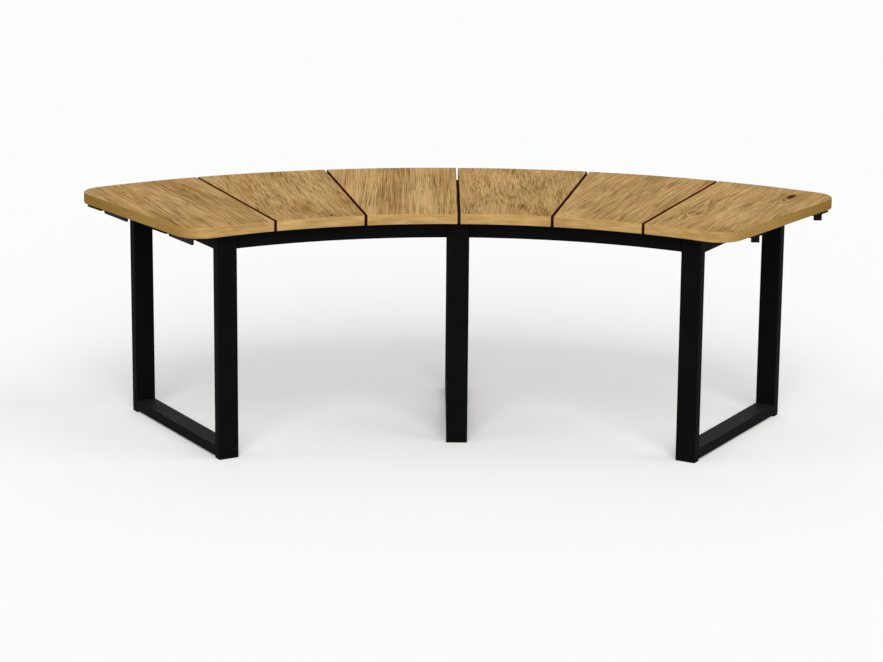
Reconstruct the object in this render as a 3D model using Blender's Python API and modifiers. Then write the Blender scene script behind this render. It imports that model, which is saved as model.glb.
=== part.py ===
# Curved garden bench: one arc module of a ring-shaped bench.
# Six wooden slabs lie side by side on a black steel frame with three legs.
# Units are metres and radians, +Z is up, and +Y points away from the ring's centre.
# An angle in plan is measured about the ring's centre, from +Y towards +X.

from math import asin, atan2, ceil, cos, pi, radians, sin, sqrt, tan

import bmesh
import bpy
from mathutils import Vector

# Seat: slabs between radial seams
module_angle = radians(72.0)
slab_count = 6
seat_inner_radius = 0.830
seat_depth = 0.425
seat_height = 0.450
slab_thickness = 0.020
slab_gap = 0.004
slab_edge_radius = 0.0015
seat_end_corner_radius = 0.050

# Frame: rectangular steel tube
tube_width = 0.040
tube_depth = 0.020
top_tube_height = 0.030
tube_wall = 0.0015
tube_corner_radius = 0.002
front_overhang = 0.020
rear_overhang = 0.020
foot_pad_thickness = 0.003

# Flat strips under the slabs, placed from the seat's inner and outer edges
strip_width = 0.050
strip_thickness = 0.003
inner_strip_offset = 0.113
outer_strip_offset = 0.076

# Link flanges under the left end, placed from the end to the back of the flange
flange_inset = 0.0505
flange_length = 0.092
flange_drop = 0.0225
flange_seat_width = 0.025
flange_corner_radius = 0.003

# Link tabs under the right end, placed from the end to the middle of the tab's face
tab_inset = 0.0103
tab_width = 0.0155
tab_drop = 0.0130
tab_seat_width = 0.016
tab_corner_radius = 0.0005

# Sheet steel of the link flanges and tabs
link_thickness = 0.003
link_inner_bend_radius = 0.001

# Clearance between pieces that touch, and fineness of round shapes
seat_gap = 0.0003
merge_distance = 0.00001
arc_step = radians(1.5)
fillet_step = radians(11.25)
bend_step = radians(22.5)
flat_angle = radians(0.3)
sharp_angle = radians(30.0)
mitre_angle = radians(45.0)
right_angle = radians(90.0)
edge_segments = 2
corner_segments = 4

# Places that follow from the sizes above
seat_outer_radius = seat_inner_radius + seat_depth
slab_pitch = module_angle / slab_count
end_plane = module_angle / 2
leg_angle = end_plane - slab_pitch / 2
slab_side_inset = slab_gap / 2
slab_bottom = seat_height - slab_thickness
frame_top = slab_bottom - seat_gap
strip_bottom = frame_top - strip_thickness
frame_front_radius = seat_inner_radius + front_overhang
frame_rear_radius = seat_outer_radius - rear_overhang
frame_base = foot_pad_thickness + seat_gap
butt_inset = tube_width / 2 + seat_gap
inner_strip_radius = seat_inner_radius + inner_strip_offset
outer_strip_radius = seat_outer_radius - outer_strip_offset


def seat_front():
    """Least distance of the seat in front of the ring's centre, at its rounded inner corners."""
    across = slab_side_inset + seat_end_corner_radius
    along = sqrt((seat_inner_radius + seat_end_corner_radius) ** 2 - across ** 2)
    return along * cos(end_plane) + across * sin(end_plane) - seat_end_corner_radius


ring_centre_y = -(seat_outer_radius + seat_front()) / 2


# Scene, materials and nodes

def clear_scene():
    for scene_object in list(bpy.context.scene.objects):
        bpy.data.objects.remove(scene_object, do_unlink=True)


def make_material(name, colour, roughness):
    material = bpy.data.materials.new(name)
    material.use_nodes = True
    shader = material.node_tree.nodes["Principled BSDF"]
    shader.inputs["Base Color"].default_value = (*colour, 1.0)
    shader.inputs["Roughness"].default_value = roughness
    shader.inputs["Metallic"].default_value = 0.0
    material.diffuse_color = (*colour, 1.0)
    return material


def place(name, data, parent, location=(0.0, 0.0, 0.0), angle=0.0):
    """Object under its parent, turned in plan from +Y towards +X; without data it is an empty."""
    piece = bpy.data.objects.new(name, data)
    piece.location = location
    piece.rotation_euler = (0.0, 0.0, -angle)
    piece.parent = parent
    bench.objects.link(piece)
    return piece


# Outlines in plan

def polar(radius, angle):
    return Vector((radius * sin(angle), radius * cos(angle)))


def plan_angle(point):
    return atan2(point.x, point.y)


def arc_points(centre, radius, start, end, step):
    """Points on an arc from one direction to another, both ends included."""
    count = max(1, ceil(abs(end - start) / step))
    turn = (end - start) / count
    return [centre + polar(radius, start + turn * index) for index in range(count + 1)]


def side_profile(inner, outer, plane, inset, fillet):
    """Side of a ring sector from its outer arc to its inner arc, parallel to a radial plane."""
    along = polar(1.0, plane)
    inward = polar(1.0, plane - right_angle)
    across = inset + fillet
    outer_centre = along * sqrt((outer - fillet) ** 2 - across ** 2) + inward * across
    inner_centre = along * sqrt((inner + fillet) ** 2 - across ** 2) + inward * across
    if fillet == 0.0:
        return [outer_centre, inner_centre]
    facing = plane + right_angle
    outer_corner = arc_points(outer_centre, fillet, plan_angle(outer_centre), facing, fillet_step)
    inner_corner = arc_points(inner_centre, fillet, facing, plan_angle(inner_centre) + pi, fillet_step)
    return outer_corner + inner_corner


def sector_outline(inner, outer, left, right):
    """Closed outline of a ring sector; each side is (plane angle, inset, fillet)."""
    left_plane, left_inset, left_fillet = left
    mirrored = side_profile(inner, outer, -left_plane, left_inset, left_fillet)
    left_side = [Vector((-point.x, point.y)) for point in reversed(mirrored)]
    right_side = side_profile(inner, outer, *right)
    centre = Vector((0.0, 0.0))
    inner_ends = plan_angle(right_side[-1]), plan_angle(left_side[0])
    outer_ends = plan_angle(left_side[-1]), plan_angle(right_side[0])
    inner_arc = arc_points(centre, inner, *inner_ends, arc_step)
    outer_arc = arc_points(centre, outer, *outer_ends, arc_step)
    return right_side + inner_arc[1:-1] + left_side + outer_arc[1:-1]


def bent_sheet_outline(drop, seat_width):
    """Bent sheet in section: a seat along +X at the top and a leg down at X = 0."""
    inner = link_inner_bend_radius
    outer = inner + link_thickness
    bend = Vector((outer, -outer))
    outer_bend = arc_points(bend, outer, -right_angle, 0.0, bend_step)
    inner_bend = arc_points(bend, inner, 0.0, -right_angle, bend_step)
    seat_end = [Vector((seat_width, 0.0)), Vector((seat_width, -link_thickness))]
    leg_end = [Vector((link_thickness, -drop)), Vector((0.0, -drop))]
    return outer_bend + seat_end + inner_bend + leg_end


# Solids

def is_upright(face):
    return abs(face.normal.z) < cos(mitre_angle)


def faces_along_ring(face):
    """True for an end of a curved bar, which looks along the ring."""
    outward = face.calc_center_median().xy.normalized()
    return is_upright(face) and abs(face.normal.xy.dot(outward)) < cos(mitre_angle)


def middle(edge):
    return (edge.verts[0].co + edge.verts[1].co) / 2


def rise(edge):
    return abs(edge.verts[0].co.z - edge.verts[1].co.z)


def runs_along_ring(edge):
    """True for a long edge of a curved bar, between a level face and one that looks in or out."""
    upright = [face for face in edge.link_faces if is_upright(face)]
    return len(upright) == 1 and not faces_along_ring(upright[0])


def round_edges(solid, is_chosen, radius, segments):
    bmesh.ops.bevel(
        solid,
        geom=[edge for edge in solid.edges if is_chosen(edge)],
        offset=radius,
        segments=segments,
        profile=0.5,
        affect="EDGES",
        clamp_overlap=True,
    )


def hollow_out(solid, is_end):
    """Open the ends of a bar and give it the tube's wall, inwards from its outer skin."""
    ends = [face for face in solid.faces if is_end(face)]
    bmesh.ops.delete(solid, geom=ends, context="FACES_ONLY")
    bmesh.ops.solidify(solid, geom=solid.faces, thickness=tube_wall)
    bmesh.ops.recalc_face_normals(solid, faces=solid.faces)


def box_solid(width, depth, height):
    """Box that stands on Z = 0, with its four upright edges rounded as tube is."""
    solid = bmesh.new()
    bmesh.ops.create_cube(solid, size=1.0)
    bmesh.ops.scale(solid, vec=(width, depth, height), verts=solid.verts)
    bmesh.ops.translate(solid, vec=(0.0, 0.0, height / 2), verts=solid.verts)
    round_edges(solid, lambda edge: rise(edge) > height / 2, tube_corner_radius, edge_segments)
    return solid


def outline_solid(outline, thickness):
    """Solid of a flat outline, extruded equally to both sides of Z = 0."""
    curve = bpy.data.curves.new("outline", "CURVE")
    curve.dimensions = "2D"
    curve.fill_mode = "BOTH"
    curve.extrude = thickness / 2
    spline = curve.splines.new("POLY")
    spline.points.add(len(outline) - 1)
    for spline_point, point in zip(spline.points, outline):
        spline_point.co = (point.x, point.y, 0.0, 1.0)
    spline.use_cyclic_u = True
    guide = bpy.data.objects.new("outline", curve)
    bench.objects.link(guide)
    evaluated = guide.evaluated_get(bpy.context.evaluated_depsgraph_get())
    mesh = bpy.data.meshes.new_from_object(evaluated)
    bpy.data.objects.remove(guide)
    bpy.data.curves.remove(curve)
    solid = bmesh.new()
    solid.from_mesh(mesh)
    bpy.data.meshes.remove(mesh)
    bmesh.ops.remove_doubles(solid, verts=solid.verts, dist=merge_distance)
    bmesh.ops.dissolve_limit(solid, angle_limit=flat_angle, verts=solid.verts, edges=solid.edges)
    bmesh.ops.recalc_face_normals(solid, faces=solid.faces)
    return solid


def finished_mesh(name, solid, material):
    mesh = bpy.data.meshes.new(name)
    solid.to_mesh(mesh)
    solid.free()
    mesh.shade_smooth()
    mesh.set_sharp_from_angle(angle=sharp_angle)
    mesh.materials.append(material)
    return mesh


# Seat

def slab_mesh(name, left_fillet, right_fillet, material):
    left = (-slab_pitch / 2, slab_side_inset, left_fillet)
    right = (slab_pitch / 2, slab_side_inset, right_fillet)
    outline = sector_outline(seat_inner_radius, seat_outer_radius, left, right)
    return finished_mesh(name, outline_solid(outline, slab_thickness), material)


def ease_slab(slab):
    ease = slab.modifiers.new("eased_edges", "BEVEL")
    ease.width = slab_edge_radius
    ease.segments = edge_segments
    ease.limit_method = "ANGLE"
    ease.angle_limit = sharp_angle


def make_seat(material):
    """A row of slabs: the two at the ends have rounded outer corners, the others share a mesh."""
    left_end = slab_mesh("left_end_slab", seat_end_corner_radius, 0.0, material)
    between = slab_mesh("slab", 0.0, 0.0, material)
    right_end = slab_mesh("right_end_slab", 0.0, seat_end_corner_radius, material)
    height = slab_bottom + slab_thickness / 2
    for index, mesh in enumerate([left_end] + [between] * (slab_count - 2) + [right_end]):
        angle = slab_pitch * (index + 0.5) - end_plane
        ease_slab(place(f"seat_slab_{index + 1}", mesh, ring, (0.0, 0.0, height), angle))


# Legs

def tube_solid(depth, length, low_mitre, high_mitre):
    """Open tube up from Z = 0, each end square or mitred so that its -Y side is the longer."""
    solid = box_solid(tube_width, depth, length)
    hollow_out(solid, lambda face: not is_upright(face))
    for vertex in solid.verts:
        cut = (vertex.co.y + depth / 2) * tan(mitre_angle)
        if vertex.co.z < length / 2 and low_mitre:
            vertex.co.z += cut
        elif vertex.co.z > length / 2 and high_mitre:
            vertex.co.z -= cut
    return solid


def lay_down(solid):
    """Turn a tube from +Z to +Y, with its former -Y side down."""
    for vertex in solid.verts:
        vertex.co = (-vertex.co.x, vertex.co.z, vertex.co.y)
    return solid


class LegMeshes:
    """Meshes that the three legs share, and the radii between which the two bars run."""

    def __init__(self, steel, plastic):
        mitre_gap = seat_gap / sin(mitre_angle)
        self.bottom_start = frame_front_radius + mitre_gap
        bottom_run = frame_rear_radius - mitre_gap - self.bottom_start
        self.top_start = frame_front_radius + tube_depth + seat_gap
        top_run = frame_rear_radius - tube_depth - seat_gap - self.top_start
        upright = tube_solid(tube_depth, frame_top - frame_base, True, False)
        bottom_bar = lay_down(tube_solid(tube_depth, bottom_run, True, True))
        top_bar = lay_down(tube_solid(top_tube_height, top_run, False, False))
        pad = box_solid(tube_width, tube_depth, foot_pad_thickness)
        self.upright = finished_mesh("upright", upright, steel)
        self.bottom_bar = finished_mesh("bottom_bar", bottom_bar, steel)
        self.top_bar = finished_mesh("top_bar", top_bar, steel)
        self.pad = finished_mesh("foot_pad", pad, plastic)


def make_leg(side, angle, meshes):
    """Closed frame in a radial plane, on two foot pads."""
    leg = place(f"{side}_leg", None, ring, angle=angle)
    front = frame_front_radius + tube_depth / 2
    rear = frame_rear_radius - tube_depth / 2
    bottom_height = frame_base + tube_depth / 2
    top_height = frame_top - top_tube_height / 2
    place(f"{side}_front_upright", meshes.upright, leg, (0.0, front, frame_base))
    place(f"{side}_rear_upright", meshes.upright, leg, (0.0, rear, frame_base), pi)
    place(f"{side}_bottom_bar", meshes.bottom_bar, leg, (0.0, meshes.bottom_start, bottom_height))
    place(f"{side}_top_bar", meshes.top_bar, leg, (0.0, meshes.top_start, top_height))
    place(f"{side}_front_pad", meshes.pad, leg, (0.0, front, 0.0))
    place(f"{side}_rear_pad", meshes.pad, leg, (0.0, rear, 0.0))


# Curved rails and strips

def make_rails(name, inner, steel):
    """Curved rail of open tube, in two lengths that butt the legs."""
    left = (-leg_angle / 2, butt_inset, 0.0)
    right = (leg_angle / 2, butt_inset, 0.0)
    outline = sector_outline(inner, inner + tube_depth, left, right)
    solid = outline_solid(outline, top_tube_height)
    round_edges(solid, runs_along_ring, tube_corner_radius, edge_segments)
    hollow_out(solid, faces_along_ring)
    mesh = finished_mesh(name, solid, steel)
    height = frame_top - top_tube_height / 2
    place(f"{name}_left", mesh, ring, (0.0, 0.0, height), -leg_angle / 2)
    place(f"{name}_right", mesh, ring, (0.0, 0.0, height), leg_angle / 2)


def make_strips(row, radius, steel):
    """Flat curved strip that carries the slabs, in four lengths between the legs and the ends."""
    height = frame_top - strip_thickness / 2
    stations = {
        "left_end": ((-end_plane, slab_side_inset), (-leg_angle, butt_inset)),
        "left": ((-leg_angle, butt_inset), (0.0, butt_inset)),
        "right": ((0.0, butt_inset), (leg_angle, butt_inset)),
        "right_end": ((leg_angle, butt_inset), (end_plane, slab_side_inset)),
    }
    inner = radius - strip_width / 2
    for station, ((start, start_inset), (end, end_inset)) in stations.items():
        turn = (start + end) / 2
        left = (start - turn, start_inset, 0.0)
        right = (end - turn, end_inset, 0.0)
        outline = sector_outline(inner, inner + strip_width, left, right)
        mesh = finished_mesh(f"{row}_{station}", outline_solid(outline, strip_thickness), steel)
        place(f"{row}_{station}", mesh, ring, (0.0, 0.0, height), turn)


# Link hardware

def bent_sheet_mesh(name, length, drop, seat_width, corner_radius, steel):
    """Bent sheet with its length along X, its seat towards +Y and its leg down at Y = 0."""
    solid = outline_solid(bent_sheet_outline(drop, seat_width), length)
    for vertex in solid.verts:
        vertex.co = (vertex.co.z, vertex.co.x, vertex.co.y)

    def is_leg_corner(edge):
        centre = middle(edge)
        at_end = abs(abs(centre.x) - length / 2) < merge_distance
        return at_end and abs(centre.z + drop) < merge_distance

    round_edges(solid, is_leg_corner, corner_radius, corner_segments)
    return finished_mesh(name, solid, steel)


def make_links(steel):
    """Flanges across the strips, seats to the left end, and tabs that face front at the right end."""
    flange = bent_sheet_mesh(
        "link_flange", flange_length, flange_drop, flange_seat_width, flange_corner_radius, steel
    )
    tab = bent_sheet_mesh("link_tab", tab_width, tab_drop, tab_seat_width, tab_corner_radius, steel)
    height = strip_bottom - seat_gap
    for row, radius in (("inner", inner_strip_radius), ("outer", outer_strip_radius)):
        angle = asin(flange_inset / radius) - end_plane
        spot = polar(radius, angle).to_3d() + Vector((0.0, 0.0, height))
        place(f"link_flange_{row}", flange, ring, spot, angle - right_angle)
        spot = polar(radius, end_plane - asin(tab_inset / radius)).to_3d() + Vector((0.0, 0.0, height))
        place(f"link_tab_{row}", tab, ring, spot)


clear_scene()
bench = bpy.data.collections.new("curved_garden_bench")
bpy.context.scene.collection.children.link(bench)
ring = place("ring_centre", None, None, (0.0, ring_centre_y, 0.0))

oiled_wood = make_material("oiled_hardwood", (0.50, 0.33, 0.14), 0.55)
frame_coat = make_material("black_powder_coat", (0.012, 0.012, 0.013), 0.50)
pad_plastic = make_material("foot_pad_black", (0.010, 0.010, 0.010), 0.60)
link_coat = make_material("link_hardware_black", (0.014, 0.013, 0.014), 0.45)

make_seat(oiled_wood)
leg_meshes = LegMeshes(frame_coat, pad_plastic)
for leg_side, leg_turn in (("left", -leg_angle), ("centre", 0.0), ("right", leg_angle)):
    make_leg(leg_side, leg_turn, leg_meshes)
make_rails("front_rail", frame_front_radius, frame_coat)
make_rails("rear_rail", frame_rear_radius - tube_depth, frame_coat)
make_strips("inner_strip", inner_strip_radius, frame_coat)
make_strips("outer_strip", outer_strip_radius, frame_coat)
make_links(link_coat)
bpy.context.view_layer.update()
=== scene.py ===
# Curved garden bench: looks of the seat, frame and fixings, with a plain studio.
# Lengths are metres. An angle in plan is measured about the ring's centre, from +Y towards +X.

from functools import partial
from math import radians

import bmesh
import bpy
from mathutils import Matrix, Vector


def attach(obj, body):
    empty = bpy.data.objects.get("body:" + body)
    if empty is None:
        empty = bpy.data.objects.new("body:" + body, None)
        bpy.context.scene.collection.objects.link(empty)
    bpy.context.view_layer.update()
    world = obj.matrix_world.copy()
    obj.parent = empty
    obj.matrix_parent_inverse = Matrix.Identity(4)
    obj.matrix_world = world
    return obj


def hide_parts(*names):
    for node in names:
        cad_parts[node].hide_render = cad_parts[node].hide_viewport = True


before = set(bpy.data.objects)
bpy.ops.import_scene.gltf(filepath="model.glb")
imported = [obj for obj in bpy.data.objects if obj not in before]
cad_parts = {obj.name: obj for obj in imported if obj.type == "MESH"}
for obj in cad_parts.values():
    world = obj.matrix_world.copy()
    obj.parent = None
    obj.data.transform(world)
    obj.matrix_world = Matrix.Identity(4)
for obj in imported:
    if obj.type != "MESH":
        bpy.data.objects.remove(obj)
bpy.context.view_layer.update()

# Sizes of the bench
module_angle = radians(72.0)
slab_count = 6
slab_pitch = module_angle / slab_count
end_plane = module_angle / 2
leg_angle = end_plane - slab_pitch / 2
seat_inner_radius = 0.830
seat_depth = 0.425
seat_outer_radius = seat_inner_radius + seat_depth
ring_centre = (0.0, -0.9731278785, 0.0)
slab_bottom = 0.430
slab_thickness = 0.020
slab_half_gap = 0.002
slab_edge_radius = 0.0015
seat_end_corner_radius = 0.050
frame_base = 0.0033
frame_top = 0.4297
tube_width = 0.040
tube_depth = 0.020
top_tube_height = 0.030
tube_corner_radius = 0.002
overhang = 0.020
butt_inset = tube_width / 2
strip_width = 0.050
strip_thickness = 0.003
strip_edge_radius = 0.0005
inner_strip_radius = 0.943
outer_strip_radius = 1.179

# Sizes of the fixings, which only show from below
screw_head_radius = 0.0055
screw_head_height = 0.0028
screw_socket_radius = 0.0026
screw_turn = radians(3.4)

# Fineness of the shapes
shading_weight = 80
merge_distance = 0.00001
side_distance = 0.0001
sharp_angle = radians(30.0)
bevel_segments = 3
half_turn = radians(180.0)
quarter_turn = radians(90.0)


# Building nodes

def add(tree, kind, inputs=None, **settings):
    """New node; inputs are keyed by socket name or number and are values or sockets."""
    node = tree.nodes.new(kind)
    for name, value in settings.items():
        setattr(node, name, value)
    for key, value in (inputs or {}).items():
        if isinstance(value, bpy.types.NodeSocket):
            tree.links.new(value, node.inputs[key])
        else:
            node.inputs[key].default_value = value
    return node


def maths(tree, operation, *values):
    """Result of one step of arithmetic on values or sockets."""
    return add(tree, "ShaderNodeMath", dict(enumerate(values)), operation=operation).outputs[0]


def chosen(tree, number, values):
    """The value at a number in a list of values or sockets."""
    switch = add(tree, "GeometryNodeIndexSwitch", {"Index": number}, data_type="FLOAT")
    while len(switch.index_switch_items) < len(values):
        switch.index_switch_items.new()
    for place, value in enumerate(values):
        if isinstance(value, bpy.types.NodeSocket):
            tree.links.new(value, switch.inputs[place + 1])
        else:
            switch.inputs[place + 1].default_value = value
    return switch.outputs[0]


def set_points(tree, geometry, places):
    """Mesh with its points at new places."""
    inputs = {"Geometry": geometry, "Position": places}
    return add(tree, "GeometryNodeSetPosition", inputs).outputs[0]


def merged(tree, geometry):
    """Mesh without doubled points."""
    inputs = {"Geometry": geometry, "Distance": merge_distance}
    return add(tree, "GeometryNodeMergeByDistance", inputs).outputs[0]


def solid_between(tree, sheet, offset):
    """Closed solid from a flat sheet to its copy at an offset."""
    body = add(
        tree,
        "GeometryNodeExtrudeMesh",
        {"Mesh": sheet, "Offset": offset, "Offset Scale": 1.0, "Individual": False},
        mode="FACES",
    )
    under = add(tree, "GeometryNodeFlipFaces", {"Mesh": sheet})
    both = add(tree, "GeometryNodeJoinGeometry", {"Geometry": body.outputs[0]})
    tree.links.new(under.outputs[0], both.inputs[0])
    return merged(tree, both.outputs[0])


def weighted(tree, solid, weight):
    """Solid whose edges carry the weight that the bevel modifier reads."""
    inputs = {"Geometry": solid, "Name": "bevel_weight_edge", "Value": weight}
    marked = add(tree, "GeometryNodeStoreNamedAttribute", inputs, data_type="FLOAT", domain="EDGE")
    return marked.outputs[0]


def hand_out(tree, geometry, material, made):
    """Make instances real, set the material and give the shape to the group's output."""
    real = add(tree, "GeometryNodeRealizeInstances", {"Geometry": geometry})
    dressed = add(tree, "GeometryNodeSetMaterial", {"Geometry": real.outputs[0], "Material": material})
    tree.links.new(dressed.outputs[0], made["Geometry"])


def group_tree(name, kind, inputs, outputs):
    """Node group with named sockets; inputs are (name, socket kind, value)."""
    tree = bpy.data.node_groups.new(name, kind)
    for socket_name, socket_kind, value in inputs:
        socket = tree.interface.new_socket(socket_name, in_out="INPUT", socket_type=socket_kind)
        if value is not None:
            socket.default_value = value
    for socket_name, socket_kind in outputs:
        tree.interface.new_socket(socket_name, in_out="OUTPUT", socket_type=socket_kind)
    return tree, tree.nodes.new("NodeGroupInput").outputs, tree.nodes.new("NodeGroupOutput").inputs


def shaped(name, tree, values, finish=()):
    """Plain mesh object from a geometry tree, with its named inputs set and finishing modifiers."""
    seed_mesh = bpy.data.meshes.new(name)
    shape = bpy.data.objects.new(name, seed_mesh)
    bpy.context.scene.collection.objects.link(shape)
    maker = shape.modifiers.new("shape", "NODES")
    maker.node_group = tree
    for item in tree.interface.items_tree:
        if item.item_type == "SOCKET" and item.in_out == "INPUT" and item.name in values:
            maker[item.identifier] = values[item.name]
    for kind, settings in finish:
        modifier = shape.modifiers.new(kind.lower(), kind)
        for setting, value in settings.items():
            setattr(modifier, setting, value)
    evaluated = shape.evaluated_get(bpy.context.evaluated_depsgraph_get())
    mesh = bpy.data.meshes.new_from_object(evaluated)
    mesh.name = name
    shape.modifiers.clear()
    shape.data = mesh
    bpy.data.meshes.remove(seed_mesh)
    return shape


# Shapes by rule

LENGTH = "NodeSocketFloat"


def ring_sector_tree():
    """Flat bar or slab cut from a ring, with straight sides parallel to radial planes."""
    tree, given, made = group_tree(
        "ring_sector",
        "GeometryNodeTree",
        [
            ("Inner Radius", LENGTH, 1.0),
            ("Depth", LENGTH, 0.4),
            ("Left Plane", LENGTH, -0.1),
            ("Right Plane", LENGTH, 0.1),
            ("Left Inset", LENGTH, 0.002),
            ("Right Inset", LENGTH, 0.002),
            ("Left Corner Radius", LENGTH, 0.0),
            ("Right Corner Radius", LENGTH, 0.0),
            ("Bottom", LENGTH, 0.0),
            ("Thickness", LENGTH, 0.02),
            ("Centre", "NodeSocketVector", None),
            ("Steps", "NodeSocketInt", 32),
            ("Round Ends", "NodeSocketBool", True),
            ("Material", "NodeSocketMaterial", None),
        ],
        [("Geometry", "NodeSocketGeometry")],
    )
    m = partial(maths, tree)
    inner = given["Inner Radius"]
    outer = m("ADD", inner, given["Depth"])

    def corner(plane, inset, radius, side, at_outer):
        """Polar place of the centre of a rounded corner."""
        reach = m("SUBTRACT", outer, radius) if at_outer else m("ADD", inner, radius)
        lean = m("ARCSINE", m("DIVIDE", m("ADD", inset, radius), reach))
        return reach, m("SUBTRACT" if side > 0 else "ADD", plane, lean)

    left = given["Left Plane"], given["Left Inset"], given["Left Corner Radius"]
    right = given["Right Plane"], given["Right Inset"], given["Right Corner Radius"]
    right_outer, right_outer_turn = corner(*right, 1, True)
    right_inner, right_inner_turn = corner(*right, 1, False)
    left_inner, left_inner_turn = corner(*left, -1, False)
    left_outer, left_outer_turn = corner(*left, -1, True)
    right_face = m("ADD", right[0], quarter_turn)
    left_face = m("ADD", left[0], half_turn + quarter_turn)
    arcs = [
        (right_outer, right_outer_turn, right[2], right_outer_turn, right_face),
        (right_inner, right_inner_turn, right[2], right_face, m("ADD", right_inner_turn, half_turn)),
        (0.0, 0.0, inner, right_inner_turn, left_inner_turn),
        (left_inner, left_inner_turn, left[2], m("ADD", left_inner_turn, half_turn), left_face),
        (left_outer, left_outer_turn, left[2], left_face, m("ADD", left_outer_turn, 2 * half_turn)),
        (0.0, 0.0, outer, left_outer_turn, right_outer_turn),
    ]
    points_per_arc = m("ADD", given["Steps"], 1.0)
    index = add(tree, "GeometryNodeInputIndex").outputs[0]
    arc_number = m("FLOOR", m("DIVIDE", m("ADD", index, 0.5), points_per_arc))
    along = m("DIVIDE", m("SUBTRACT", index, m("MULTIPLY", arc_number, points_per_arc)), given["Steps"])

    reach, turn, radius, start, end = (chosen(tree, arc_number, list(column)) for column in zip(*arcs))
    facing = m("ADD", start, m("MULTIPLY", m("SUBTRACT", end, start), along))
    x = m("MULTIPLY_ADD", radius, m("SINE", facing), m("MULTIPLY", reach, m("SINE", turn)))
    y = m("MULTIPLY_ADD", radius, m("COSINE", facing), m("MULTIPLY", reach, m("COSINE", turn)))
    plan = add(tree, "ShaderNodeCombineXYZ", {"X": x, "Y": y})
    loop = add(tree, "GeometryNodeMeshCircle", {"Vertices": m("MULTIPLY", points_per_arc, 6.0)})
    clean = merged(tree, set_points(tree, loop.outputs[0], plan.outputs[0]))
    outline = add(tree, "GeometryNodeMeshToCurve", {"Mesh": clean})
    sheet = add(tree, "GeometryNodeFillCurve", {"Curve": outline.outputs[0]}, mode="NGONS")
    rise = add(tree, "ShaderNodeCombineXYZ", {"Z": given["Thickness"]})
    solid = solid_between(tree, sheet.outputs[0], rise.outputs[0])

    place = add(tree, "GeometryNodeInputPosition").outputs[0]
    flat = add(tree, "ShaderNodeSeparateXYZ", {0: place})

    def off_side(plane, inset, side):
        """Distance in plan from a straight side."""
        across = m("SUBTRACT", m("MULTIPLY", flat.outputs["X"], m("COSINE", plane)),
                   m("MULTIPLY", flat.outputs["Y"], m("SINE", plane)))
        return m("ABSOLUTE", m("ADD" if side > 0 else "SUBTRACT", across, inset))

    nearest = m("MINIMUM", off_side(*right[:2], 1), off_side(*left[:2], -1))
    away = m("MAXIMUM", m("GREATER_THAN", nearest, side_distance), given["Round Ends"])
    fold = add(tree, "GeometryNodeInputMeshEdgeAngle").outputs[0]
    marked = weighted(tree, solid, m("MULTIPLY", m("GREATER_THAN", fold, sharp_angle), away))
    lift = add(tree, "ShaderNodeCombineXYZ", {"Z": given["Bottom"]})
    spot = add(tree, "ShaderNodeVectorMath", {0: given["Centre"], 1: lift.outputs[0]}, operation="ADD")
    placed = add(tree, "GeometryNodeTransform", {"Geometry": marked, "Translation": spot.outputs[0]})
    smooth = add(tree, "GeometryNodeSetShadeSmooth", {"Geometry": placed.outputs[0]})
    hand_out(tree, smooth.outputs[0], given["Material"], made)
    return tree


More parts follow.
